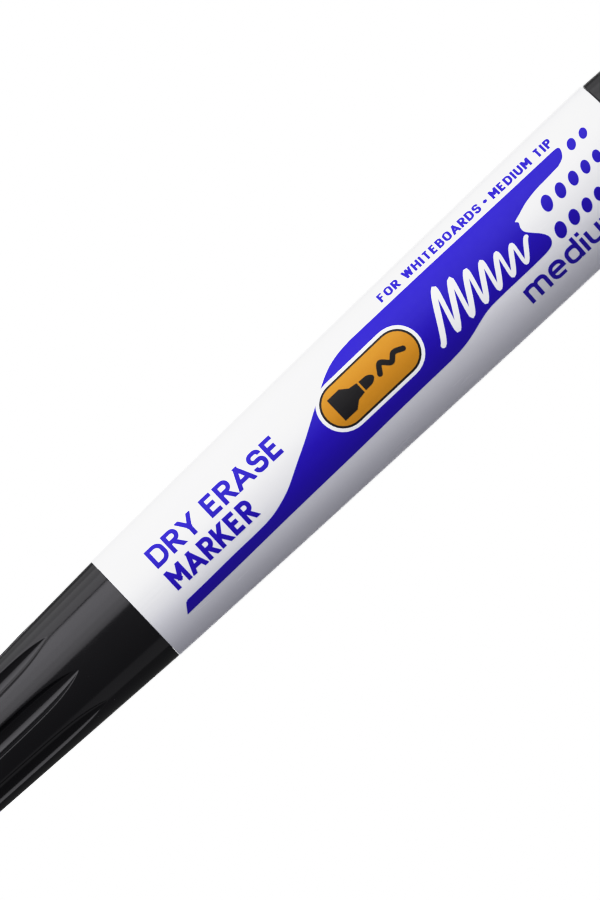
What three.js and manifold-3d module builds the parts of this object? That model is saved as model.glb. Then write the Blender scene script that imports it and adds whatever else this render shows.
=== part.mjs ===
// A whiteboard marker with a fibre ink reservoir and a pull-off cap, in millimetres.
// It stands on its tail plug: the plug's end face is at z = 0 and the closed end of the cap is on top.
// Each piece is a solid of revolution about Z, apart from its flutes, ribs and fins.
import * as THREE from "three";
import { mergeVertices } from "three/addons/utils/BufferGeometryUtils.js";
import Module from "manifold-3d";

const wasm = await Module();
wasm.setup();

// Driving dimensions
const TOTAL_LENGTH = 138;
const CAP_LENGTH = 48.5;
const PLUG_LENGTH = 13.8; // the part of the tail plug that shows behind the barrel
const BARREL_TAIL_RADIUS = 8.14;
const BARREL_FRONT_RADIUS = 7.12;
const BARREL_CROWN = 0.19; // how far the barrel's side bows out of a straight cone at mid length
const WALL = 1.2;
const NIB_RADIUS = 2.4;
const SEGMENTS = 48; // facets round a piece
const NIB_SEGMENTS = 36;
const ARC_STEPS = 3; // facets in a rounded corner
const GAP = 0.05; // between faces that meet

// Stations along the axis
const JOINT = TOTAL_LENGTH - CAP_LENGTH; // where the cap meets the barrel
const COLLAR_TOP = JOINT + 9; // the end of the barrel's collar, inside the cap
const HOLDER_SHOULDER = COLLAR_TOP + 2.25; // where the nib holder starts to flare in
const NECK_BASE = HOLDER_SHOULDER + 3.8;
const NECK_MOUTH = NECK_BASE + 4.65; // where the nib comes out
const NIB_TIP = NECK_MOUTH + 6.4;
const RESERVOIR_BOTTOM = 22;
const RESERVOIR_TOP = 85.5;
const LINER_MOUTH = JOINT + 12.3;
const LINER_END = JOINT + 33;

// Radii that mate
const COLLAR_RADIUS = 5.9;
const COLLAR_BORE = 4.75;
const PLUG_SOCKET = 7.05;
const CAP_BORE = 6.1;
const RESERVOIR_RADIUS = 4.8;
const SLEEVE_THICKNESS = 0.17;
const SLEEVE_RADIUS = RESERVOIR_RADIUS + GAP + SLEEVE_THICKNESS;

const finish = (color, roughness, metalness = 0) =>
  new THREE.MeshStandardMaterial({ color, roughness, metalness });
const materials = {
  cap: finish(0x17171b, 0.28),
  plug: finish(0x19191d, 0.3),
  barrel: finish(0xeeeef0, 0.32),
  holder: finish(0xdcdcde, 0.4),
  liner: finish(0xe6e4dc, 0.45),
  nib: finish(0x1f1f21, 0.9),
  fibre: finish(0x2a2a2e, 0.95),
  sleeve: finish(0xd8dade, 0.2),
  tube: finish(0xe8e8e8, 0.35),
};

// An outline from corners [radius, z] or [radius, z, fillet]: a fillet becomes an arc of ARC_STEPS facets.
function outline(corners) {
  const closed = corners[0][0] > 0;
  const count = corners.length;
  const made = [];
  corners.forEach(([x, y, fillet], i) => {
    const corner = new THREE.Vector2(x, y);
    if (!fillet) {
      made.push(corner);
      return;
    }
    const before = new THREE.Vector2(...corners[(i + count - 1) % count]).sub(corner).normalize();
    const after = new THREE.Vector2(...corners[(i + 1) % count]).sub(corner).normalize();
    const half = Math.acos(before.dot(after)) / 2;
    const reach = fillet / Math.tan(half);
    const start = corner.clone().addScaledVector(before, reach);
    const end = corner.clone().addScaledVector(after, reach);
    const centre = corner.clone().addScaledVector(before.clone().add(after).normalize(), fillet / Math.sin(half));
    const from = start.clone().sub(centre).angle();
    let turn = end.clone().sub(centre).angle() - from;
    turn -= 2 * Math.PI * Math.round(turn / (2 * Math.PI));
    for (let step = 0; step <= ARC_STEPS; step++) {
      const angle = from + (turn * step) / ARC_STEPS;
      made.push(new THREE.Vector2(fillet * Math.cos(angle), fillet * Math.sin(angle)).add(centre));
    }
  });
  if (closed) made.push(made[0].clone());
  return made;
}

// The outline turned about the Z axis. It runs up the outside and back down the inside.
function turned(corners, segments = SEGMENTS) {
  return new THREE.LatheGeometry(outline(corners), segments).rotateX(Math.PI / 2);
}

function solid(geometry) {
  const bare = geometry.clone().deleteAttribute("normal").deleteAttribute("uv");
  const merged = mergeVertices(bare, 1e-4);
  const vertProperties = new Float32Array(merged.attributes.position.array);
  const triVerts = new Uint32Array(merged.index.array);
  return new wasm.Manifold(new wasm.Mesh({ numProp: 3, vertProperties, triVerts }));
}

function geometryOf(manifold) {
  const mesh = manifold.getMesh();
  return new THREE.BufferGeometry()
    .setAttribute("position", new THREE.BufferAttribute(mesh.vertProperties, 3))
    .setIndex(new THREE.BufferAttribute(mesh.triVerts, 1));
}

// Radial fins, evenly spaced, from one radius to another and from one height to another.
function fins(count, thickness, inner, outer, bottom, top) {
  return Array.from({ length: count }, (_, k) =>
    new THREE.BoxGeometry(outer - inner, thickness, top - bottom)
      .translate((inner + outer) / 2, 0, (bottom + top) / 2)
      .rotateZ((k * 2 * Math.PI) / count),
  );
}

// The barrel's outer radius at a height: a cone with a slight crown.
function barrelRadius(z) {
  const share = (z - PLUG_LENGTH) / (JOINT - PLUG_LENGTH);
  const straight = BARREL_TAIL_RADIUS + (BARREL_FRONT_RADIUS - BARREL_TAIL_RADIUS) * share;
  return straight + 4 * BARREL_CROWN * share * (1 - share);
}

// Points on the barrel's side, moved in by an inset, from one height to another.
function barrelSide(from, to, inset, steps) {
  return Array.from({ length: steps + 1 }, (_, k) => {
    const z = from + ((to - from) * k) / steps;
    return [barrelRadius(z) - inset, z];
  });
}

// A hollow moulding: crowned side, a stepped-in collar with a snap bead, and four ribs that centre the reservoir.
function barrel() {
  const bead = JOINT + 4.6;
  const beadRadius = COLLAR_RADIUS + 0.1;
  const boreTop = JOINT - 4.5;
  const boreBottom = PLUG_LENGTH + 10;
  const shell = turned([
    ...barrelSide(PLUG_LENGTH, JOINT - 0.15, 0, 8),
    [BARREL_FRONT_RADIUS - 0.15, JOINT],
    [COLLAR_RADIUS, JOINT],
    [COLLAR_RADIUS, bead - 0.6],
    [beadRadius, bead - 0.25],
    [beadRadius, bead + 0.25],
    [COLLAR_RADIUS, bead + 0.6],
    [COLLAR_RADIUS, COLLAR_TOP, 0.35],
    [COLLAR_BORE, COLLAR_TOP],
    [COLLAR_BORE, JOINT - 2],
    ...barrelSide(boreTop, boreBottom, WALL, 6),
    [PLUG_SOCKET, boreBottom - 0.6],
    [PLUG_SOCKET, PLUG_LENGTH],
  ]);
  const ribBottom = JOINT - 36;
  const ribOuter = barrelRadius(ribBottom) - WALL + 0.3;
  const ribs = fins(4, 0.8, SLEEVE_RADIUS + 0.08, ribOuter, ribBottom, boreTop);
  return geometryOf(ribs.reduce((joined, rib) => joined.add(solid(rib)), solid(shell)));
}

// A hollow moulding that closes the barrel: a flange flush with the barrel, a stub that the cap can be
// pushed onto, a spigot inside the barrel and four fins that hold the reservoir forward.
function tailPlug() {
  const flange = BARREL_TAIL_RADIUS - 0.1;
  const stub = COLLAR_RADIUS;
  const flangeBottom = PLUG_LENGTH - 4.4;
  const flangeTop = PLUG_LENGTH - 0.12;
  const spigotTop = PLUG_LENGTH + 8;
  const cup = turned([
    [0, 0.7],
    [3.3, 0.7],
    [3.8, 0],
    [stub - 0.25, 0, 0.5],
    [stub, flangeBottom],
    [flange - 0.15, flangeBottom, 0.8],
    [flange, flangeTop, 0.12],
    [PLUG_SOCKET - GAP, flangeTop],
    [PLUG_SOCKET - GAP, spigotTop, 0.4],
    [PLUG_SOCKET - 1.1, spigotTop],
    [PLUG_SOCKET - 1.3, flangeTop],
    [stub - 1.1, flangeBottom - 1],
    [stub - 1.4, 1.9],
    [0, 1.9],
  ]);
  const stops = fins(4, 0.9, 0, stub - 1, 1.2, RESERVOIR_BOTTOM - 0.3);
  return geometryOf(stops.reduce((joined, fin) => joined.add(solid(fin)), solid(cup)));
}

// The stepped nose that grips the nib: a stem in the collar, a flange on it, a flare and a neck.
function nibHolder() {
  const stem = COLLAR_BORE - GAP;
  const stemBottom = JOINT - 1.5;
  const bore = NIB_RADIUS + 0.07;
  const flange = 5.35;
  const neck = 3.1;
  const cavity = 3.75;
  const body = turned([
    [stem, stemBottom],
    [stem, COLLAR_TOP + GAP],
    [flange, COLLAR_TOP + GAP, 0.1],
    [flange, HOLDER_SHOULDER, 2.4],
    [neck + 0.05, NECK_BASE, 1.2],
    [neck, NECK_MOUTH, 0.2],
    [bore, NECK_MOUTH],
    [bore, HOLDER_SHOULDER + 0.8],
    [cavity, HOLDER_SHOULDER - 1.2],
    [cavity, stemBottom],
  ]);
  const grips = fins(4, 0.7, bore, cavity + 0.3, JOINT + 1, HOLDER_SHOULDER);
  return geometryOf(grips.reduce((joined, fin) => joined.add(solid(fin)), solid(body)));
}

// One rod of fibre: a bullet tip, a round stem, and a pointed end that sits in the reservoir.
function nib() {
  const tipLength = 5.25;
  const bottom = JOINT - 11;
  const shoulder = NIB_TIP - tipLength;
  const steps = 9;
  const bullet = Array.from({ length: steps + 1 }, (_, k) => {
    const angle = (k * Math.PI) / 2 / steps;
    return [NIB_RADIUS * Math.cos(angle), shoulder + tipLength * Math.sin(angle)];
  });
  bullet[steps][0] = 0;
  return turned([[0, bottom], [1.2, bottom], [NIB_RADIUS, bottom + 1.8], ...bullet], NIB_SEGMENTS);
}

function reservoirCore() {
  const pocket = NIB_RADIUS + GAP;
  const pocketBottom = JOINT - 11.2;
  return turned([
    [0, RESERVOIR_BOTTOM],
    [RESERVOIR_RADIUS, RESERVOIR_BOTTOM, 0.4],
    [RESERVOIR_RADIUS, RESERVOIR_TOP, 0.4],
    [pocket, RESERVOIR_TOP],
    [pocket, pocketBottom + 1.8],
    [1.25, pocketBottom],
    [0, pocketBottom],
  ]);
}

// The plastic film wrapped round the fibre core, open at both ends.
function reservoirSleeve() {
  return turned([
    [SLEEVE_RADIUS, RESERVOIR_BOTTOM],
    [SLEEVE_RADIUS, RESERVOIR_TOP],
    [SLEEVE_RADIUS - SLEEVE_THICKNESS, RESERVOIR_TOP],
    [SLEEVE_RADIUS - SLEEVE_THICKNESS, RESERVOIR_BOTTOM],
  ]);
}

// A fine straw beside the reservoir that lets air reach the back of the barrel.
function breatherTube() {
  const outer = 0.36;
  return turned(
    [
      [outer, 0],
      [outer, RESERVOIR_TOP - RESERVOIR_BOTTOM],
      [outer / 2, RESERVOIR_TOP - RESERVOIR_BOTTOM],
      [outer / 2, 0],
    ],
    12,
  );
}

// The cap's outer radius at a height: a plain cone.
function capRadius(z) {
  const mouthRadius = BARREL_FRONT_RADIUS - 0.02;
  const endRadius = 5.23;
  return mouthRadius + ((endRadius - mouthRadius) * (z - JOINT)) / CAP_LENGTH;
}

// A spindle laid along the cap's side. What it cuts off is one grip flute: it is pointed towards the mouth,
// deepens quickly to its full depth and runs out through the closed end.
function fluteCutter() {
  const start = JOINT + 9.2;
  const end = TOTAL_LENGTH + 2;
  const offset = 0.2; // from the cap's side out to the spindle's axis
  const fullDepth = 1.12;
  const run = 2.9; // how far the depth takes to reach about two thirds
  const steps = 10;
  const points = Array.from({ length: steps + 1 }, (_, k) => {
    const along = (end - start) * (k / steps) ** 2.2;
    return [offset + fullDepth * (1 - Math.exp(-((along / run) ** 1.15))), along];
  });
  const spindle = turned([[0, 0], ...points, [0, end - start]], 20);
  const lean = Math.atan2(capRadius(start) - capRadius(end), end - start);
  return spindle.rotateY(-lean).translate(capRadius(start) + offset, 0, start);
}

// The cap's shell: a tapered tube with eight flutes, a bore for the barrel's collar, a seat for the liner
// and a small vent through its dished end.
function capShell() {
  const mouth = JOINT + 0.08;
  const end = TOTAL_LENGTH;
  const rim = end - 1.3;
  const vent = 1.3;
  const tube = turned([
    [capRadius(mouth), mouth, 0.1],
    [capRadius(rim), rim],
    [capRadius(end) - 0.4, end - 0.4],
    [capRadius(end) - 1.2, end],
    [3.1, end],
    [2.7, end - 0.8],
    [vent, end - 0.8],
    [vent, end - 1.9],
    [3.5, end - 1.9],
    [3.85, end - 2.6],
    [4.95, JOINT + 16],
    [5.35, LINER_MOUTH + 1.3],
    [5.35, LINER_MOUTH - 0.6],
    [5.5, COLLAR_TOP + 1.1],
    [CAP_BORE, COLLAR_TOP + 0.3],
    [CAP_BORE, mouth + 0.4],
    [CAP_BORE + 0.3, mouth],
  ]);
  const flutes = 8;
  const phase = (-94.6 * Math.PI) / 180;
  let shell = solid(tube);
  for (let k = 0; k < flutes; k++) {
    const cutter = fluteCutter().rotateZ(phase + (k * 2 * Math.PI) / flutes);
    shell = shell.subtract(solid(cutter));
  }
  return geometryOf(shell);
}

// A closed thimble inside the cap that shuts round the nib holder's flare and keeps the nib moist.
function capLiner() {
  const seat = LINER_MOUTH + 1;
  return turned([
    [0, LINER_END - 0.6],
    [3.05, LINER_END - 0.6],
    [3.6, JOINT + 16.5],
    [4.6, seat],
    [4.9, LINER_MOUTH],
    [5.25, LINER_MOUTH],
    [5.25, seat],
    [4.15, JOINT + 15.5],
    [3.6, LINER_END, 0.6],
    [0, LINER_END],
  ]);
}

function named(name, geometry, material) {
  const mesh = new THREE.Mesh(geometry, material);
  mesh.name = name;
  return mesh;
}

const marker = new THREE.Group();

const barrelAssembly = new THREE.Group();
const tube = named("breather_tube", breatherTube(), materials.tube);
const tubeAngle = Math.PI / 4; // between two ribs
const tubeDistance = SLEEVE_RADIUS + 0.41;
tube.position.set(tubeDistance * Math.cos(tubeAngle), tubeDistance * Math.sin(tubeAngle), RESERVOIR_BOTTOM);
barrelAssembly.add(
  named("barrel", barrel(), materials.barrel),
  named("tail_plug", tailPlug(), materials.plug),
  named("nib_holder", nibHolder(), materials.holder),
  named("nib", nib(), materials.nib),
  named("reservoir_core", reservoirCore(), materials.fibre),
  named("reservoir_sleeve", reservoirSleeve(), materials.sleeve),
  tube,
);

const capAssembly = new THREE.Group();
capAssembly.add(
  named("cap_shell", capShell(), materials.cap),
  named("cap_liner", capLiner(), materials.liner),
);

marker.add(barrelAssembly, capAssembly);

export default marker;
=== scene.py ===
import math

import bmesh
import bpy
import numpy as np
from mathutils import Matrix, Vector
from mathutils.geometry import delaunay_2d_cdt


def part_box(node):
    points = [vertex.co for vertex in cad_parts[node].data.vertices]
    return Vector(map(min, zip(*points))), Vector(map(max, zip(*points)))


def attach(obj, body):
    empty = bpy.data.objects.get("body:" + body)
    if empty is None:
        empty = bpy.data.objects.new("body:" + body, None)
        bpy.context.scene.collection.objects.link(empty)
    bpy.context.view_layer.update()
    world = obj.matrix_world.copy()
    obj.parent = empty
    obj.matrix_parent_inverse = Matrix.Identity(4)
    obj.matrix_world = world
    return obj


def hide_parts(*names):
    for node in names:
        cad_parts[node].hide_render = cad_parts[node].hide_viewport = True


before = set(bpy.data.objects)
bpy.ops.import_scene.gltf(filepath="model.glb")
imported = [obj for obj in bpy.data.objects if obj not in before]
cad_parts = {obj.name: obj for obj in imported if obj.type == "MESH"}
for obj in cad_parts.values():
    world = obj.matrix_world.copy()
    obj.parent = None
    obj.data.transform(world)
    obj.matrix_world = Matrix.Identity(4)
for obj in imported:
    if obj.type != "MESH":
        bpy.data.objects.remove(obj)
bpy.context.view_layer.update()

MM = 0.001
TAU = 2 * math.pi

# ---------------------------------------------------------------- the marker's own stations, in millimetres
MOUTH_GAP = 0.08  # the CAD's clearance between the barrel's step and the cap's mouth
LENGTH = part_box("cap_shell")[1].z / MM
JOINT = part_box("cap_shell")[0].z / MM - MOUTH_GAP  # where the cap meets the barrel
COLLAR_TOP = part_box("barrel")[1].z / MM
PLUG_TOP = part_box("barrel")[0].z / MM
NIB_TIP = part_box("nib")[1].z / MM
NIB_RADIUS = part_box("nib")[1].x / MM
HOLDER_SHOULDER = COLLAR_TOP + 2.25
NECK_BASE = HOLDER_SHOULDER + 3.8
NECK_MOUTH = NECK_BASE + 4.65
LINER_MOUTH = JOINT + 12.3
LINER_END = JOINT + 33
COLLAR_RADIUS = 5.9
# The outside of the barrel and the cap is 0.06 to 0.09 larger in radius than the CAD's, because an
# outline in front of a bright background comes out about one pixel thin.
TAIL_RADIUS = 8.2
FRONT_RADIUS = 7.19
CAP_END_RADIUS = 5.31
CROWN = 0.21  # how far the barrel's side bows out of a straight cone at mid length


def barrel_radius(z):
    share = (z - PLUG_TOP) / (JOINT - PLUG_TOP)
    straight = TAIL_RADIUS + (FRONT_RADIUS - TAIL_RADIUS) * share
    return straight + 4 * CROWN * share * (1 - share)


def cap_radius(z):
    return FRONT_RADIUS + (CAP_END_RADIUS - FRONT_RADIUS) * (z - JOINT) / (LENGTH - JOINT)


# ---------------------------------------------------------------- camera
LENS = 488
SENSOR = 36
CAMERA_DISTANCE = 1.354  # metres
CAMERA_ROLL = 43.4  # degrees
AIM_SIDE = 0.24  # from the marker's axis, in millimetres
AIM_DROP = 25.33  # from the joint towards the tail


def make_camera():
    """A long lens far off, level with the joint. It is rolled so that the cap points down to the left."""
    data = bpy.data.cameras.new("camera")
    data.lens = LENS
    data.sensor_width = SENSOR
    camera = bpy.data.objects.new("camera", data)
    bpy.context.scene.collection.objects.link(camera)
    place = Vector((0, -CAMERA_DISTANCE, JOINT * MM))
    aim = Vector((AIM_SIDE * MM, 0, (JOINT - AIM_DROP) * MM))
    roll = math.radians(CAMERA_ROLL)
    back = (place - aim).normalized()
    right = Vector((-math.sin(roll), 0, -math.cos(roll)))
    right = (right - back * right.dot(back)).normalized()
    up = back.cross(right)
    camera.matrix_world = Matrix.Translation(place) @ Matrix((right, up, back)).transposed().to_4x4()
    bpy.context.scene.camera = camera


# ---------------------------------------------------------------- light
# Upright soft panels: the azimuths where one starts and stops, in degrees from the camera's side towards
# +X, and its luminance. The key is one wide light in front on the right, brighter at its far edge, then
# a thin gap, and its dimmer back half. The back light stays off the sides that the camera sees.
PANELS = {
    "key": [
        (14, 22, 1.2), (22, 34, 1.6), (34, 50, 2.0), (50, 74.2, 2.2),
        (77.8, 100, 1.18), (100, 122, 0.75), (122, 140, 0.3),
    ],
    "fill": [(-100, -72, 0.16)],
    "back": [(160, 172, 1.3), (172, 188, 1.9), (188, 200, 1.3)],
}
PANEL_HEIGHT = 2.0  # metres
PANEL_DISTANCE = 0.9
PANEL_LEVEL = 0.07
AMBIENT = (0.87, 0.87, 1.0), 0.243  # what lights dull surfaces from all round: its colour and strength
MIRRORED = (0.8, 0.8, 0.8), 0.085  # what glossy surfaces reflect between the panels
WHITE = 1.35  # the backdrop, and the brightness that the tone curve takes to white
# a catalogue picture's tone curve: darks kept, mid greys lifted, and a soft shoulder into white
TONE = [
    (0.05, 0.05), (0.1, 0.1), (0.212, 0.24), (0.305, 0.37), (0.41, 0.53), (0.52, 0.685),
    (0.63, 0.79), (0.765, 0.87), (0.915, 0.917), (1.1, 0.937), (1.22, 0.96),
]


def panel(name, start, stop, luminance):
    middle = math.radians((start + stop) / 2)
    width = 2 * PANEL_DISTANCE * math.tan(math.radians((stop - start) / 2))
    data = bpy.data.lights.new(name, "AREA")
    data.shape = "RECTANGLE"
    data.size = width
    data.size_y = PANEL_HEIGHT
    data.energy = luminance * math.pi * width * PANEL_HEIGHT
    light = bpy.data.objects.new(name, data)
    bpy.context.scene.collection.objects.link(light)
    out = Vector((math.sin(middle), -math.cos(middle), 0))
    side = Vector((math.cos(middle), math.sin(middle), 0))
    turn = Matrix((side, Vector((0, 0, 1)), out)).transposed().to_4x4()
    light.matrix_world = Matrix.Translation(out * PANEL_DISTANCE + Vector((0, 0, PANEL_LEVEL))) @ turn
    light.visible_camera = False


def make_light():
    for name, row in PANELS.items():
        for k, (start, stop, luminance) in enumerate(row):
            panel(f"{name}_{k}", start, stop, luminance)

    world = bpy.data.worlds.new("studio")
    bpy.context.scene.world = world
    world.use_nodes = True
    nodes, links = world.node_tree.nodes, world.node_tree.links
    nodes.clear()

    def background(colour, strength):
        node = nodes.new("ShaderNodeBackground")
        node.inputs["Color"].default_value = (*colour, 1)
        node.inputs["Strength"].default_value = strength
        return node.outputs[0]

    def mixed(ray, otherwise, seen):
        """One light for a kind of ray, and another for the rest."""
        node = nodes.new("ShaderNodeMixShader")
        for socket, link in zip(node.inputs, (path.outputs[ray], otherwise, seen)):
            links.new(link, socket)
        return node.outputs[0]

    path = nodes.new("ShaderNodeLightPath")
    around = mixed("Is Glossy Ray", background(*AMBIENT), background(*MIRRORED))
    whole = mixed("Is Camera Ray", around, background((1, 1, 1), WHITE))
    links.new(whole, nodes.new("ShaderNodeOutputWorld").inputs["Surface"])

    settings = bpy.context.scene.view_settings
    settings.view_transform = "Standard"
    settings.use_curve_mapping = True
    curves = settings.curve_mapping
    curves.white_level = (WHITE, WHITE, WHITE)
    for x, y in TONE:
        curves.curves[3].points.new(x / WHITE, y)
    curves.update()


# ---------------------------------------------------------------- materials
class Nodes:
    """A material's node tree, with short ways to add what the finishes share."""

    def __init__(self, name):
        self.material = bpy.data.materials.new(name)
        self.material.use_nodes = True
        tree = self.material.node_tree
        self.nodes, self.links = tree.nodes, tree.links
        self.shader = self.nodes["Principled BSDF"]
        self.place = self.nodes.new("ShaderNodeTexCoord").outputs["Object"]

    def noise(self, scale, detail=3, rough=0.55, stretch=(1, 1, 1)):
        mapping = self.nodes.new("ShaderNodeMapping")
        mapping.inputs["Scale"].default_value = stretch
        self.links.new(self.place, mapping.inputs["Vector"])
        noise = self.nodes.new("ShaderNodeTexNoise")
        noise.inputs["Scale"].default_value = scale
        noise.inputs["Detail"].default_value = detail
        noise.inputs["Roughness"].default_value = rough
        self.links.new(mapping.outputs[0], noise.inputs["Vector"])
        return noise.outputs["Fac"]

    def ramp(self, value, low, high, start=0.3, stop=0.7):
        """The value from start to stop, as a number from low to high."""
        ranged = self.nodes.new("ShaderNodeMapRange")
        for key, number in (("From Min", start), ("From Max", stop), ("To Min", low), ("To Max", high)):
            ranged.inputs[key].default_value = number
        self.links.new(value, ranged.inputs["Value"])
        return ranged.outputs[0]

    def blend(self, value, first, second):
        mix = self.nodes.new("ShaderNodeMix")
        mix.data_type = "RGBA"
        self.links.new(value, mix.inputs["Factor"])
        for socket, colour in ((mix.inputs[6], first), (mix.inputs[7], second)):
            if isinstance(colour, bpy.types.NodeSocket):
                self.links.new(colour, socket)
            else:
                socket.default_value = (*colour, 1)
        return mix.outputs[2]

    def math(self, operation, first, second):
        node = self.nodes.new("ShaderNodeMath")
        node.operation = operation
        for socket, value in zip(node.inputs, (first, second)):
            if isinstance(value, bpy.types.NodeSocket):
                self.links.new(value, socket)
            else:
                socket.default_value = value
        return node.outputs[0]

    def set(self, **values):
        """Sets the shader's own sockets: a number or colour directly, or a link from another node."""
        for key, value in values.items():
            socket = self.shader.inputs[key.replace("_", " ")]
            if isinstance(value, bpy.types.NodeSocket):
                self.links.new(value, socket)
            elif isinstance(value, tuple):
                socket.default_value = (*value, 1)
            else:
                socket.default_value = value

    def bump(self, height, distance, strength=1.0, before=None):
        node = self.nodes.new("ShaderNodeBump")
        node.inputs["Distance"].default_value = distance
        node.inputs["Strength"].default_value = strength
        self.links.new(height, node.inputs["Height"])
        if before is not None:
            self.links.new(before, node.inputs["Normal"])
        return node.outputs[0]


def moulded(name, colour, dull, rough, spread, ripple=1.2e-6, scuff=0.05, tint=(1, 1, 1)):
    """Injection-moulded plastic: faint tone drift, uneven gloss, fine lengthwise scuffs, mould ripple."""
    n = Nodes(name)
    drift = n.noise(60, 2)
    grain = n.noise(2600, 3, stretch=(1, 1, 0.5))
    scuffs = n.ramp(n.noise(900, 4, 0.7, stretch=(1, 1, 0.06)), 0, 1, 0.58, 0.72)
    tone = n.blend(n.ramp(drift, 0, 1), colour, dull)
    gloss = n.ramp(n.noise(210, 3), rough - spread, rough + spread)
    n.set(
        Base_Color=tone,
        Roughness=n.math("ADD", gloss, n.math("MULTIPLY", scuffs, scuff)),
        IOR=1.5,
        Normal=n.bump(grain, ripple),
    )
    n.shader.inputs["Specular Tint"].default_value = (*tint, 1)
    return n.material


def ink(name, colour, thin, rough=0.42):
    """Screen-printed ink: close to flat, with faint lengthwise squeegee streaks and pinholes."""
    n = Nodes(name)
    streaks = n.noise(700, 3, stretch=(1, 1, 0.08))
    specks = n.ramp(n.noise(5200, 2), 0, 0.5, 0.66, 0.74)
    cover = n.math("ADD", n.ramp(streaks, 0, 0.35), specks)
    n.set(
        Base_Color=n.blend(cover, colour, thin),
        Roughness=n.ramp(n.noise(1500, 2), rough - 0.05, rough + 0.07),
        Normal=n.bump(n.noise(4200, 2), 6e-7),
    )
    n.shader.inputs["Specular IOR Level"].default_value = 0.16
    return n.material


def fibre(name, colour, lit, along):
    """Pressed fibre soaked with ink: short strands along the axis, matt, with a few dry lighter strands."""
    n = Nodes(name)
    strands = n.noise(3600, 4, 0.65, stretch=(1, 1, along))
    felt = n.noise(1500, 4, 0.6)
    dry = n.ramp(strands, 0, 1, 0.45, 0.75)
    n.set(
        Base_Color=n.blend(dry, colour, lit),
        Roughness=n.ramp(felt, 0.72, 0.95),
        Normal=n.bump(felt, 4e-5, 0.8, before=n.bump(strands, 2.5e-5)),
    )
    n.shader.inputs["Specular IOR Level"].default_value = 0.3
    return n.material


BLACK = (0.0075, 0.0073, 0.0082), (0.0105, 0.0102, 0.0112)
COOL = (0.96, 0.94, 1.0)
finishes = {
    "cap": moulded("cap_plastic", *BLACK, 0.13, 0.02, scuff=0.06, tint=COOL),
    "plug": moulded("plug_plastic", *BLACK, 0.2, 0.03, scuff=0.08, tint=COOL),
    "barrel": moulded("barrel_plastic", (0.885, 0.885, 0.892), (0.865, 0.866, 0.877), 0.24, 0.03, 9e-7),
    "holder": moulded("holder_plastic", (0.7, 0.7, 0.71), (0.66, 0.66, 0.675), 0.38, 0.05, 2e-6),
    "liner": moulded("liner_plastic", (0.78, 0.77, 0.72), (0.72, 0.71, 0.66), 0.42, 0.05, 2e-6),
    "nib": fibre("nib_felt", (0.011, 0.011, 0.012), (0.035, 0.035, 0.04), along=0.5),
    "core": fibre("core_fibre", (0.012, 0.012, 0.014), (0.05, 0.05, 0.055), along=0.05),
    "film": moulded("film_plastic", (0.62, 0.64, 0.68), (0.55, 0.57, 0.61), 0.15, 0.03),
    "tube": moulded("tube_plastic", (0.76, 0.76, 0.75), (0.7, 0.7, 0.69), 0.35, 0.04),
    "violet": ink("violet_ink", (0.0195, 0.0045, 0.43), (0.026, 0.009, 0.46)),
    "white": ink("white_ink", (0.95, 0.95, 0.96), (0.92, 0.92, 0.935), rough=0.36),
    "amber": ink("amber_ink", (0.56, 0.262, 0.015), (0.6, 0.287, 0.022)),
    "black": ink("black_ink", (0.012, 0.011, 0.012), (0.02, 0.019, 0.02)),
}


# ---------------------------------------------------------------- turned shapes
FILLET_STEPS = 6


def rounded(corners, closed=None):
    """An outline from [x, y] or [x, y, fillet], where a fillet becomes an arc.

    Unless closed says otherwise, it is open if it starts on the axis.
    """
    made = []
    if closed is None:
        closed = corners[0][0] > 0
    for i, corner in enumerate(corners):
        here = Vector(corner[:2])
        if len(corner) == 2:
            made.append(here)
            continue
        before = (Vector(corners[i - 1][:2]) - here).normalized()
        after = (Vector(corners[(i + 1) % len(corners)][:2]) - here).normalized()
        half = before.angle(after) / 2
        start = here + before * corner[2] / math.tan(half)
        end = here + after * corner[2] / math.tan(half)
        centre = here + (before + after).normalized() * corner[2] / math.sin(half)
        a, b = start - centre, end - centre
        turn = math.atan2(a.x * b.y - a.y * b.x, a.dot(b))
        for k in range(FILLET_STEPS + 1):
            angle = turn * k / FILLET_STEPS
            x = a.x * math.cos(angle) - a.y * math.sin(angle)
            y = a.x * math.sin(angle) + a.y * math.cos(angle)
            made.append(centre + Vector((x, y)))
    return [(p.x, p.y) for p in made], closed


def refined(points, closed, longest):
    """The outline with its long stretches divided, so that no row of faces is much longer than the rest."""
    made = []
    pairs = list(zip(points, points[1:] + (points[:1] if closed else [])))
    for (r0, z0), (r1, z1) in pairs:
        count = max(1, math.ceil(math.hypot(r1 - r0, z1 - z0) / longest))
        made += [(r0 + (r1 - r0) * k / count, z0 + (z1 - z0) * k / count) for k in range(count)]
    return made if closed else made + [points[-1]]


def finish_mesh(name, vertices, faces, material, body, node=None, sharp=32):
    mesh = bpy.data.meshes.new(name)
    mesh.from_pydata(vertices, [], faces)
    mesh.validate()
    mesh.shade_smooth()
    mesh.set_sharp_from_angle(angle=math.radians(sharp))
    mesh.materials.append(material)
    piece = bpy.data.objects.new(name, mesh)
    bpy.context.scene.collection.objects.link(piece)
    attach(piece, body)
    if node:
        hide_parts(node)


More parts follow.
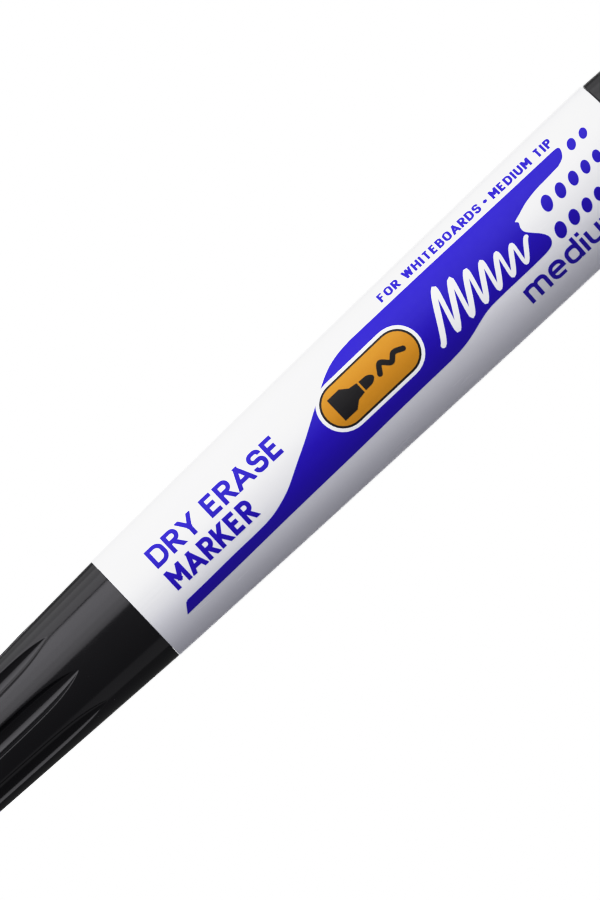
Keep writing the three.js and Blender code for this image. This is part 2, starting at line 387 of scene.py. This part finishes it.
def turned(
    name, corners, material, body, node, columns=192, longest=3.0, section=None, sharp=32
):
    """A solid of revolution, unless section(z, radius) gives other angles and radii for its columns."""
    points, closed = rounded(corners)
    points = refined(points, closed, longest)
    even = [TAU * j / columns for j in range(columns)]
    rows = []
    vertices = []
    for r, z in points:
        if r == 0:
            rows.append([len(vertices)] * columns)
            vertices.append((0, 0, z * MM))
            continue
        rows.append(list(range(len(vertices), len(vertices) + columns)))
        for a, q in section(z, r) if section else [(a, r) for a in even]:
            vertices.append((q * math.cos(a) * MM, q * math.sin(a) * MM, z * MM))
    faces = []
    for low, high in zip(rows, rows[1:] + (rows[:1] if closed else [])):
        for j in range(columns):
            k = (j + 1) % columns
            corners_once = list(dict.fromkeys([low[j], low[k], high[k], high[j]]))
            if len(corners_once) > 2:
                faces.append(corners_once)
    finish_mesh(name, vertices, faces, material, body, node, sharp)


# ---------------------------------------------------------------- the cap
FLUTES = 8
FLUTE_PHASE = math.radians(-94.6)
FLUTE_START = JOINT + 9.2
FLUTE_OFFSET = 0.2  # from the cap's side out to the axis of the rounded tool that cuts a flute
FLUTE_DEPTH = 1.12
FLUTE_RUN = 2.9  # how far a flute takes to deepen, and how slowly it does so at first
FLUTE_EASE = 1.15
FLUTE_MARGIN = 0.05
FLUTE_EDGE = 0.13  # the radius to which a flute's edges are broken
ARC_COLUMNS = 12  # columns of faces from the middle of a flute to its edge
EDGE_COLUMNS = 6  # columns of faces round an edge
LAND_COLUMNS = 10  # columns of faces between two flutes
CAP_COLUMNS = FLUTES * (2 * (ARC_COLUMNS + EDGE_COLUMNS) + LAND_COLUMNS)


def half_flute(z):
    """Half of a flute's section, from its middle out to the plain side. The flute's middle lies along X."""
    r = cap_radius(z)
    along = max(FLUTE_MARGIN, z - FLUTE_START)
    tool = FLUTE_OFFSET + FLUTE_DEPTH * (1 - math.exp(-((along / FLUTE_RUN) ** FLUTE_EASE)))
    reach = r + FLUTE_OFFSET
    core = r - FLUTE_EDGE
    spread = math.acos((reach**2 + core**2 - (tool + FLUTE_EDGE) ** 2) / (2 * reach * core))
    edge = Vector((core * math.cos(spread), core * math.sin(spread)))
    toward = math.atan2(edge.y, edge.x - reach)
    made = []
    for i in range(ARC_COLUMNS):
        a = math.pi + (toward - math.pi) * i / ARC_COLUMNS
        made.append((reach + tool * math.cos(a), tool * math.sin(a)))
    for i in range(EDGE_COLUMNS + 1):
        a = toward - math.pi + (spread - toward + math.pi) * i / EDGE_COLUMNS
        made.append((edge.x + FLUTE_EDGE * math.cos(a), edge.y + FLUTE_EDGE * math.sin(a)))
    return made


def cap_section(z, r):
    """The cap's outline at a height as angles and radii. Its columns crowd together at the flutes."""
    half = [(math.atan2(y, x), math.hypot(x, y)) for x, y in half_flute(z)]
    if z <= FLUTE_START or r < cap_radius(z) - FLUTE_DEPTH - FLUTE_MARGIN:
        half = [(a, r) for a, _ in half]
    whole = [(-a, q) for a, q in reversed(half)] + half[1:]
    gap = TAU / FLUTES - 2 * half[-1][0]
    whole += [(half[-1][0] + gap * i / LAND_COLUMNS, r) for i in range(1, LAND_COLUMNS)]
    return [(FLUTE_PHASE + TAU * k / FLUTES + a, min(q, r)) for k in range(FLUTES) for a, q in whole]


def make_cap():
    mouth = JOINT + 0.02
    bore = 6.1
    throat = 5.35  # round the liner's mouth
    end = LENGTH
    dish = 2.7
    dish_floor = end - 0.8
    vent = 1.3
    roof = end - 1.9
    tips = [*np.arange(0, 3, 0.1), *np.arange(3, 9, 0.3)]  # rows of faces, closer where a flute starts
    turned(
        "cap_outer",
        [
            [cap_radius(mouth), mouth, 0.04],
            *([cap_radius(FLUTE_START + along), FLUTE_START + along] for along in tips),
            [cap_radius(end - 1.3), end - 1.3],
            [cap_radius(end) - 0.12, end - 0.65],
            [cap_radius(end) - 0.5, end - 0.22],
            [cap_radius(end) - 1.2, end],
            [dish + 0.4, end, 0.15],
            [dish, dish_floor, 0.15],
            [vent, dish_floor, 0.1],
            [vent, roof],
            [3.5, roof],
            [3.85, end - 2.6],
            [4.95, JOINT + 16],
            [throat, LINER_MOUTH + 1.3],
            [throat, LINER_MOUTH - 0.6],
            [throat + 0.15, COLLAR_TOP + 1.1],
            [bore, COLLAR_TOP + 0.3],
            [bore, mouth + 0.4],
            [bore + 0.3, mouth],
        ],
        finishes["cap"],
        "cap",
        "cap_shell",
        columns=CAP_COLUMNS,
        longest=1.2,
        section=cap_section,
        sharp=50,
    )
    seat = LINER_MOUTH + 1
    turned(
        "cap_inner",
        [
            [0, LINER_END - 0.6],
            [3.05, LINER_END - 0.6, 0.3],
            [3.6, JOINT + 16.5],
            [4.6, seat],
            [4.9, LINER_MOUTH],
            [5.25, LINER_MOUTH],
            [5.25, seat],
            [4.15, JOINT + 15.5],
            [3.6, LINER_END, 0.6],
            [0, LINER_END],
        ],
        finishes["liner"],
        "liner",
        "cap_liner",
        columns=128,
    )


# ---------------------------------------------------------------- the barrel and its plug
def barrel_side(start, stop, inset, steps):
    heights = np.linspace(start, stop, steps + 1)
    return [[barrel_radius(z) - inset, z] for z in heights]


def make_barrel():
    bead = JOINT + 4.6
    wall = 1.2
    collar_bore = 4.75
    socket = 7.05
    turned(
        "barrel_body",
        [
            *barrel_side(PLUG_TOP + 0.1, JOINT - 0.3, 0, 24),
            [FRONT_RADIUS, JOINT, 0.06],
            [COLLAR_RADIUS, JOINT, 0.12],
            [COLLAR_RADIUS, bead - 0.6, 0.4],
            [COLLAR_RADIUS + 0.1, bead - 0.25, 0.4],
            [COLLAR_RADIUS + 0.1, bead + 0.25, 0.4],
            [COLLAR_RADIUS, bead + 0.6, 0.4],
            [COLLAR_RADIUS, COLLAR_TOP, 0.35],
            [collar_bore, COLLAR_TOP],
            [collar_bore, JOINT - 2],
            *barrel_side(JOINT - 4.5, PLUG_TOP + 10, wall, 8),
            [socket, PLUG_TOP + 9.4],
            [socket, PLUG_TOP],
            [barrel_radius(PLUG_TOP) - 0.1, PLUG_TOP],
        ],
        finishes["barrel"],
        "barrel",
        "barrel",
        columns=256,
    )


def make_plug():
    flange = TAIL_RADIUS - 0.1
    stub = COLLAR_RADIUS
    flange_bottom = PLUG_TOP - 4.4
    flange_top = PLUG_TOP - 0.12
    spigot = 7.0
    spigot_top = PLUG_TOP + 8
    turned(
        "plug_body",
        [
            [0, 0.7],
            [3.3, 0.7, 0.2],
            [3.8, 0, 0.15],
            [stub - 0.25, 0, 0.5],
            [stub, flange_bottom, 0.25],
            [flange - 0.15, flange_bottom, 0.8],
            [flange, flange_top, 0.12],
            [spigot, flange_top],
            [spigot, spigot_top, 0.4],
            [spigot - 1.1, spigot_top],
            [spigot - 1.3, flange_top],
            [stub - 1.1, flange_bottom - 1],
            [stub - 1.4, 1.9],
            [0, 1.9],
        ],
        finishes["plug"],
        "barrel",
        "tail_plug",
    )


# ---------------------------------------------------------------- the nose
def make_nose():
    stem = 4.7
    stem_end = JOINT - 1.5
    bore = NIB_RADIUS + 0.07
    flange = 5.35
    seat = COLLAR_TOP + 0.05
    neck = 3.1
    cavity = 3.75
    turned(
        "nose_holder",
        [
            [stem, stem_end],
            [stem, seat],
            [flange, seat, 0.08],
            [flange, HOLDER_SHOULDER, 2.4],
            [neck + 0.05, NECK_BASE, 1.2],
            [neck, NECK_MOUTH, 0.18],
            [bore, NECK_MOUTH, 0.12],
            [bore, HOLDER_SHOULDER + 0.8],
            [cavity, HOLDER_SHOULDER - 1.2],
            [cavity, stem_end],
        ],
        finishes["holder"],
        "barrel",
        "nib_holder",
        longest=1.5,
    )
    tip = 5.25  # the length of the nib's rounded end
    bottom = JOINT - 11
    bullet = []
    for a in np.linspace(0, math.pi / 2, 28):
        bullet.append([NIB_RADIUS * math.cos(a), NIB_TIP - tip + tip * math.sin(a)])
    bullet[-1][0] = 0
    turned(
        "nose_nib",
        [[0, bottom], [1.2, bottom], [NIB_RADIUS, bottom + 1.8], *bullet],
        finishes["nib"],
        "barrel",
        "nib",
        columns=96,
        longest=1.0,
    )


# ---------------------------------------------------------------- the print
# Print is drawn flat, in millimetres: x runs from the joint towards the tail, and y round the barrel
# towards +X from the middle of the side that faces the camera. It is then wrapped on the barrel.
INK_HEIGHT = 0.018  # how far a layer of ink stands out of the barrel
INK_ROOT = 0.02  # how deep its underside lies in it
WRAP_RADIUS = 7.82  # the barrel's radius at which y is to scale
SHIFT_ALONG = 0.13  # moves all of the print towards the cap
SHIFT_ROUND = 0.07  # and round the barrel towards +X
SLICE_ALONG = 3.0  # how finely the print is cut to bend round the barrel
SLICE_ROUND = 0.3
SLIVER = 2e-3  # corners closer together than this are one


def wrapped(x, y, height):
    z = JOINT - x + SHIFT_ALONG
    r = barrel_radius(z) + height
    a = (y + SHIFT_ROUND) / WRAP_RADIUS
    return (r * math.sin(a) * MM, -r * math.cos(a) * MM, z * MM)


def within(places, polygon):
    """Which of the places, rows of x and y, lie inside a flat polygon."""
    x, y = places[:, :1], places[:, 1:]
    ax, ay = np.array(polygon).T
    bx, by = np.roll(ax, -1), np.roll(ay, -1)
    rise = np.where(by == ay, 1, by - ay)
    crossed = ((ay > y) != (by > y)) & (x < ax + (bx - ax) * (y - ay) / rise)
    return crossed.sum(axis=1) % 2 == 1


def joined(shapes):
    """Flat polygons as one flat mesh, melted together where they overlap."""
    points, edges = [], []
    for shape in shapes:
        start = len(points)
        edges += [(start + i, start + (i + 1) % len(shape)) for i in range(len(shape))]
        points += [Vector(p) for p in shape]
    vertices, _, faces, *_ = delaunay_2d_cdt(points, edges, [], 0, SLIVER)
    middles = [sum((vertices[i] for i in face), Vector((0, 0))) / len(face) for face in faces]
    covered = np.zeros(len(faces), bool)
    for shape in shapes:
        covered |= within(np.array(middles), [tuple(p) for p in shape])
    made = bmesh.new()
    placed = [made.verts.new((*v, 0)) for v in vertices]
    for face, kept in zip(faces, covered):
        if kept:
            made.faces.new([placed[i] for i in face])
    cleaned(made)
    return made


def cleaned(flat):
    """Closes slivers, and drops corners that belong to no face."""
    bmesh.ops.remove_doubles(flat, verts=flat.verts[:], dist=SLIVER)
    bmesh.ops.dissolve_degenerate(flat, dist=SLIVER, edges=flat.edges[:])
    bmesh.ops.delete(flat, geom=[e for e in flat.edges if not e.link_faces], context="EDGES")
    bmesh.ops.delete(flat, geom=[v for v in flat.verts if not v.link_faces], context="VERTS")


def sliced(flat, axis, step):
    """Cuts the flat mesh along lines a step apart, so that it can bend round the barrel."""
    low = min(v.co[axis] for v in flat.verts)
    high = max(v.co[axis] for v in flat.verts)
    normal = [0, 0, 0]
    normal[axis] = 1
    for k in range(1, math.ceil((high - low) / step)):
        point = [0, 0, 0]
        point[axis] = low + k * step
        everything = flat.verts[:] + flat.edges[:] + flat.faces[:]
        bmesh.ops.bisect_plane(
            flat, geom=everything, dist=2 * SLIVER, plane_co=point, plane_no=normal
        )


def printed(name, shapes, material, height):
    """Flat shapes, each a flat mesh or a list of polygons, as thin closed skins of ink on the barrel."""
    vertices, faces = [], []
    for shape in shapes:
        flat = joined(shape) if isinstance(shape, list) else shape
        sliced(flat, 0, SLICE_ALONG)
        sliced(flat, 1, SLICE_ROUND)
        cleaned(flat)
        flat.verts.index_update()
        flat.verts.ensure_lookup_table()
        start, count = len(vertices), len(flat.verts)
        for level in (height, -INK_ROOT):
            vertices += [wrapped(v.co.x, v.co.y, level) for v in flat.verts]
        for f in flat.faces:
            loop = [v.index + start for v in f.verts]
            if f.normal.z < 0:
                loop.reverse()
            faces.append(loop)
            faces.append([i + count for i in reversed(loop)])
            for a, b in zip(loop, loop[1:] + loop[:1]):
                edge = flat.edges.get((flat.verts[a - start], flat.verts[b - start]))
                if len(edge.link_faces) == 1:
                    faces.append([b, a, a + count, b + count])
        flat.free()
    finish_mesh(name, vertices, faces, material, "barrel", sharp=50)


def smooth(points, steps=8):
    """A smooth open run through the points."""
    p = [Vector(q) for q in points]
    p = [2 * p[0] - p[1], *p, 2 * p[-1] - p[-2]]
    made = []
    for a, b, c, d in zip(p, p[1:], p[2:], p[3:]):
        for k in range(steps):
            t = k / steps
            bend = (2 * a - 5 * b + 4 * c - d) * t**2 + (3 * b - a - 3 * c + d) * t**3
            made.append(0.5 * (2 * b + (c - a) * t + bend))
    made.append(p[-2])
    return [(q.x, q.y) for q in made]


def ellipse(x, y, width, height, lean=0.0):
    steps = 28
    made = []
    for k in range(steps):
        a = TAU * k / steps
        up = math.sin(a) * height / 2
        made.append((x + math.cos(a) * width / 2 + up * lean, y + up))
    return made


def capsule(x, y, width, height, grow=0.0):
    """A bar with round ends, centred, grown by a margin."""
    steps = 16
    r = height / 2 + grow
    reach = (width - height) / 2
    made = []
    for side, start in ((1, -math.pi / 2), (-1, math.pi / 2)):
        for k in range(steps + 1):
            a = start + math.pi * k / steps
            made.append((x + side * reach + r * math.cos(a), y + r * math.sin(a)))
    return made


def band(points, widths, closed=False):
    """A line as a chain of overlapping bars, one per stretch, that meet at the outside of each bend."""
    sharpest = 1.6  # radians: past this bend, the outer corner doesn't reach out any further
    line = [Vector(p) for p in points]
    count = len(line)
    if isinstance(widths, float):
        widths = [widths] * count
    runs = [(i, (i + 1) % count) for i in range(count if closed else count - 1)]
    ways = [(line[j] - line[i]).normalized() for i, j in runs]
    bars = []
    for k, (i, j) in enumerate(runs):
        turns = [
            ways[k - 1].angle(ways[k]) if closed or k else 0,
            ways[k].angle(ways[(k + 1) % len(ways)]) if closed or k + 1 < len(runs) else 0,
        ]
        start, end = line[i], line[j]
        start = start - ways[k] * widths[i] / 2 * math.tan(min(turns[0], sharpest) / 2)
        end = end + ways[k] * widths[j] / 2 * math.tan(min(turns[1], sharpest) / 2)
        across = Vector((-ways[k].y, ways[k].x)) / 2
        a, b = across * widths[i], across * widths[j]
        bars.append([start - a, end - b, end + b, start + a])
    return bars


def round_ended(line, widths):
    """A line as bars, with a disc at each end."""
    discs = [ellipse(*line[k], widths[k], widths[k]) for k in (0, -1)]
    return [*band(line, widths), *discs]


def ring(inner, outer):
    """The band between two outlines that have the same number of points."""
    after = [*range(1, len(inner)), 0]
    return [[inner[i], outer[i], outer[j], inner[j]] for i, j in enumerate(after)]


# Letters are strokes between 0 and 1 up, and from 0 to their own width across. A third number rounds a
# corner. Strokes that would end at a slant run past 0 and 1, and are trimmed level. After "closed",
# the strokes of more than three corners are closed loops.
BOWL = [(0, 1), (0.56, 1, 0.25), (0.56, 0.47, 0.25), (0, 0.47)]
LETTERS = {
    "A": (0.76, [(-0.06, -0.15), (0.43, 1.15)], [(0.82, -0.15), (0.33, 1.15)],
          [(0.1, 0.25), (0.66, 0.25)]),
    "B": (0.58, "closed", [(0, 0), (0, 1), (0.54, 1, 0.24), (0.54, 0.52, 0.2), (0, 0.52)],
          [(0, 0.52), (0.58, 0.52, 0.22), (0.58, 0, 0.25), (0, 0)]),
    "D": (0.66, "closed", [(0, 0), (0, 1), (0.66, 1, 0.38), (0.66, 0, 0.38)]),
    "E": (0.5, [(0.54, 1), (0, 1), (0, 0), (0.54, 0)], [(0, 0.52), (0.47, 0.52)]),
    "F": (0.5, [(0.54, 1), (0, 1), (0, -0.15)], [(0, 0.5), (0.46, 0.5)]),
    "H": (0.66, [(0, -0.15), (0, 1.15)], [(0.66, -0.15), (0.66, 1.15)], [(0, 0.52), (0.66, 0.52)]),
    "I": (0, [(0, -0.15), (0, 1.15)]),
    "K": (0.6, [(0, -0.15), (0, 1.15)], [(0, 0.3), (0.66, 1.2)], [(0.2, 0.56), (0.68, -0.2)]),
    "M": (0.8, [(0, -0.15), (0, 1.15)], [(0.8, -0.15), (0.8, 1.15)],
          [(-0.04, 1.13), (0.4, 0.34), (0.84, 1.13)]),
    "O": (0.68, "closed", [(0, 0, 0.33), (0, 1, 0.33), (0.68, 1, 0.33), (0.68, 0, 0.33)]),
    "P": (0.56, [(0, -0.15), (0, 1.15)], BOWL),
    "R": (0.56, [(0, -0.15), (0, 1.15)], BOWL, [(0.22, 0.5), (0.64, -0.2)]),
    "S": (0.56, [(0.56, 0.74), (0.56, 1, 0.24), (0, 1, 0.24), (0, 0.52, 0.22), (0.56, 0.52, 0.22),
                 (0.56, 0, 0.24), (0, 0, 0.24), (0, 0.26)]),
    "T": (0.62, [(-0.03, 1), (0.65, 1)], [(0.31, 1), (0.31, -0.15)]),
    "U": (0.64, [(0, 1.15), (0, 0, 0.3), (0.64, 0, 0.3), (0.64, 1.15)]),
    "W": (1.0, [(-0.05, 1.2), (0.27, -0.2)], [(0.22, -0.15), (0.52, 1.15)], [(0.48, 1.15), (0.78, -0.15)],
          [(0.73, -0.2), (1.05, 1.2)]),
    "Y": (0.66, [(-0.05, 1.15), (0.33, 0.42), (0.71, 1.15)], [(0.33, 0.46), (0.33, -0.15)]),
    "d": (0.55, "closed", [(0, 0, 0.26), (0, 0.74, 0.26), (0.55, 0.74, 0.26), (0.55, 0, 0.26)],
          [(0.55, -0.15), (0.55, 1.15)]),
    "e": (0.58, [(0.02, 0.38), (0.58, 0.38), (0.58, 0.74, 0.28), (0, 0.74, 0.28), (0, 0, 0.28),
                 (0.52, 0)]),
    "i": (0, [(0, -0.15), (0, 0.74)], [(0, 0.92), (0, 1.1)]),
    "m": (0.92, [(0, -0.15), (0, 0.8)], [(0, 0.5), (0, 0.74, 0.2), (0.46, 0.74, 0.2), (0.46, -0.15)],
          [(0.46, 0.5), (0.46, 0.74, 0.2), (0.92, 0.74, 0.2), (0.92, -0.15)]),
    "u": (0.54, [(0, 0.8), (0, 0, 0.25), (0.54, 0, 0.25), (0.54, 0.4)], [(0.54, 0.8), (0.54, -0.15)]),
    " ": (0.12,),
}


def lettering(words, height, left, right, base, weight, gap, slope=0.0):
    """A line of letters as a flat mesh, fitted between two ends. The stroke keeps its weight."""
    inner = height - weight
    space = weight + gap
    wide = sum(LETTERS[c][0] for c in words)
    stretch = (right - left - space * len(words) + gap) / wide
    pieces = []
    x = left + weight / 2
    for c in words:
        width, *strokes = LETTERS[c]
        closed = "closed" in strokes
        for corners in strokes:
            if corners == "closed":
                continue
            sized = []
            for across, up, *fillet in corners:
                fillet = [r * min(inner, stretch) for r in fillet]
                sized.append((x + across * stretch, weight / 2 + up * inner, *fillet))
            shut = closed and len(corners) > 3
            pieces += band(rounded(sized, shut)[0], weight, shut)
        x += width * stretch + space
    flat = joined(pieces)
    for level, up in ((0, -1), (height, 1)):
        everything = flat.verts[:] + flat.edges[:] + flat.faces[:]
        bmesh.ops.bisect_plane(
            flat, geom=everything, plane_co=(0, level, 0), plane_no=(0, up, 0), clear_outer=True
        )
    for v in flat.verts:
        v.co.y += base + slope * (v.co.x - left)
    return flat


# generic words, with each line's height, left and right end, base, stroke weight, gap and slope
WORDS = [
    ("DRY ERASE", 2.76, 4.9, 24.1, 1.48, 0.55, 0.25, -0.012),
    ("MARKER", 2.66, 4.9, 17.25, -2.03, 0.55, 0.25, -0.003),
    ("FOR WHITEBOARDS", 1.56, 43.1, 58.3, 6.36, 0.33, 0.15, -0.0244),
    ("MEDIUM TIP", 1.48, 59.95, 68.95, 5.95, 0.33, 0.15, -0.0244),
    ("medium", 2.85, 55.2, 70.0, -6.24, 0.48, 0.34, 0.012),
]


def make_words():
    """What the marker is, what it is for, and its tip, with a round point between two of the lines."""
    point = ellipse(59.13, 6.68, 0.56, 0.56)
    return [*(lettering(*line) for line in WORDS), [point]]


def make_band():
    """A thin foot under the words that swells into a wide band and ends in a narrow tail at the top."""
    foot_end = [(3.85, -5.19), (4.3, -4.35), (4.62, -3.83), (4.95, -3.66)]
    top = smooth(
        [
            (4.95, -3.66), (8, -3.59), (12, -3.46), (15.6, -3.41), (17.4, -3.31), (19, -3.0), (21.3, -2.17),
            (24, -0.71), (26.6, 0.66), (29.4, 2.3), (31.6, 3.66), (33.7, 4.83), (35.6, 5.43), (37.6, 5.66),
        ]
    )
    roof = smooth([(37.6, 5.66), (42, 5.6), (50, 5.47), (60, 5.24), (67.6, 5.13), (68.7, 5.09)])
    corner = smooth([(68.7, 5.09), (69.02, 4.98), (69.1, 4.7), (68.95, 4.2), (68.5, 3.65), (67.6, 3.28)])
    tail = smooth([(67.6, 3.28), (66, 3.2), (64, 3.11), (62.2, 2.82), (60.9, 2.42), (59.85, 2.1)])
    shoulder = smooth(
        [
            (59.85, 2.1), (60.1, 1.75), (59.85, 1.2), (59.9, 0.6), (60.5, -0.1), (61.1, -0.75),
            (61.5, -1.5), (61.3, -2.2), (60.5, -2.6), (58.5, -2.72), (53.2, -2.74), (51.2, -2.84),
            (49.6, -3.2), (47.9, -3.72), (46.2, -4.08), (44.2, -4.25),
        ]
    )
    base = smooth([(44.2, -4.25), (38, -4.33), (30, -4.53), (20, -4.72), (12, -4.97), (3.85, -5.19)])
    return [[*foot_end[:-1], *top, *roof[1:], *corner[1:], *tail[1:], *shoulder[1:], *base[1:-1]]]


def make_dots():
    """Three rows of leaning dots that shrink towards the tail."""
    shrink = 0.935  # each dot's size against the one before
    lean = 0.25
    dots = []
    for y, x, pitch, count, width, height in (
        (4.15, 70.35, 1.76, 2, 1.15, 1.4),
        (1.2, 63.85, 2.07, 6, 1.4, 1.8),
        (-1.88, 62.95, 2.05, 6, 1.45, 1.78),
    ):
        for k in range(count):
            size = shrink**k
            dots.append([ellipse(x, y, width * size, height * size, lean)])
            x += pitch * size**0.9
    return dots


def make_badge():
    """An upright amber capsule in a black line and a white rim, with the sign of a marker's nose on it."""
    badge = (36.35, 0.57, 13.05, 4.9)
    line_out = 0.26
    rim_out = 0.66
    fill, line, rim = capsule(*badge), capsule(*badge, line_out), capsule(*badge, rim_out)
    above = INK_HEIGHT * 2  # on top of the band's ink
    printed("print_badge_rim", [ring(line, rim)], finishes["white"], above)
    printed("print_badge_line", [ring(fill, line)], finishes["black"], above)
    printed("print_badge_fill", [[fill]], finishes["amber"], above)
    # the nose's neck, its tip and the line that it draws
    neck = [
        (31.2, -0.95), (33.0, -0.95), (33.9, -0.25), (34.9, -0.1),
        (34.9, 1.24), (33.9, 1.39), (33.0, 2.09), (31.2, 2.09),
    ]
    tip = smooth([(35.15, -0.05), (36.3, 0.05), (36.85, 0.57), (36.3, 1.09), (35.15, 1.19)], 5)
    trail = smooth([(37.5, 0.2), (38.3, 1.1), (39.3, 0.3), (40.2, 0.9), (41.3, 0.5)])
    stroke = round_ended(trail, [0.62] * len(trail))
    sign = [[neck], [tip], stroke]
    printed("print_badge_sign", sign, finishes["black"], INK_HEIGHT * 3)


def make_scribble():
    """A trial scribble: slanted strokes to and fro that die away."""
    swings = 6.5
    steps = 160
    start, length = 46.0, 13.2
    slant = 0.45
    line, widths = [], []
    for k in range(steps + 1):
        share = k / steps
        turn = TAU * share * swings
        height = 2.75 - 1.75 * share**0.8
        middle = 0.45 - 1.35 * share
        up = -height * math.cos(turn)
        line.append((start + length * share**0.95 + slant * up, middle + up))
        widths.append(0.62 - 0.16 * share + 0.08 * math.sin(turn))
    strokes = round_ended(line, widths)
    printed("print_scribble", [strokes], finishes["white"], INK_HEIGHT * 2)


def make_print():
    shapes = [*make_words(), make_band(), *make_dots()]
    printed("print_violet", shapes, finishes["violet"], INK_HEIGHT)
    make_badge()
    make_scribble()


# ---------------------------------------------------------------- what stays as CAD made it
INNER = {"reservoir_core": "core", "reservoir_sleeve": "film", "breather_tube": "tube"}


def dress_inner():
    """Gives the CAD meshes their materials."""
    for node, finish in INNER.items():
        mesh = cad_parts[node].data
        mesh.materials.clear()
        mesh.materials.append(finishes[finish])


# ---------------------------------------------------------------- floor
FLOOR_RADIUS = 0.11  # metres
FLOOR_SHADE_COVER = 0.9  # how much of the backdrop it hides at its middle, the marker's foot; falling off outwards, it paints a contact shadow round the foot
FLOOR_DROP = 0.00005  # below the plug's end face, so that the two don't coincide


def make_floor():
    """A pale round patch of floor that fades into the white studio. Its fade out from the marker's foot is
    painted shade, a contact shadow added to the floor's real shading. Seen from below it is clear.
    """
    n = Nodes("floor")
    distance = n.nodes.new("ShaderNodeVectorMath")
    distance.operation = "LENGTH"
    n.links.new(n.place, distance.inputs[0])
    n.set(Base_Color=n.blend(n.noise(9, 2), (0.86, 0.86, 0.87), (0.88, 0.88, 0.885)), Roughness=0.9)
    clear = n.nodes.new("ShaderNodeBsdfTransparent")
    mix = n.nodes.new("ShaderNodeMixShader")
    # painted shade: the floor hides the white backdrop most at the marker's foot and less further out, so
    # it darkens round the foot like a contact shadow, on top of the real shadows that the lights cast
    cover = n.ramp(distance.outputs["Value"], FLOOR_SHADE_COVER, 0, 0, FLOOR_RADIUS)
    cover.node.interpolation_type = "SMOOTHERSTEP"
    above = n.math("SUBTRACT", 1.0, n.nodes.new("ShaderNodeNewGeometry").outputs["Backfacing"])
    n.links.new(n.math("MULTIPLY", cover, above), mix.inputs[0])
    n.links.new(clear.outputs[0], mix.inputs[1])
    n.links.new(n.shader.outputs[0], mix.inputs[2])
    n.links.new(mix.outputs[0], n.nodes["Material Output"].inputs["Surface"])
    made = bmesh.new()
    bmesh.ops.create_circle(made, cap_ends=True, radius=FLOOR_RADIUS, segments=96)
    mesh = bpy.data.meshes.new("floor")
    made.to_mesh(mesh)
    made.free()
    mesh.materials.append(n.material)
    floor = bpy.data.objects.new("floor", mesh)
    floor.location.z = -FLOOR_DROP
    bpy.context.scene.collection.objects.link(floor)


make_camera()
make_light()
make_cap()
make_barrel()
make_plug()
make_nose()
make_print()
dress_inner()
make_floor()
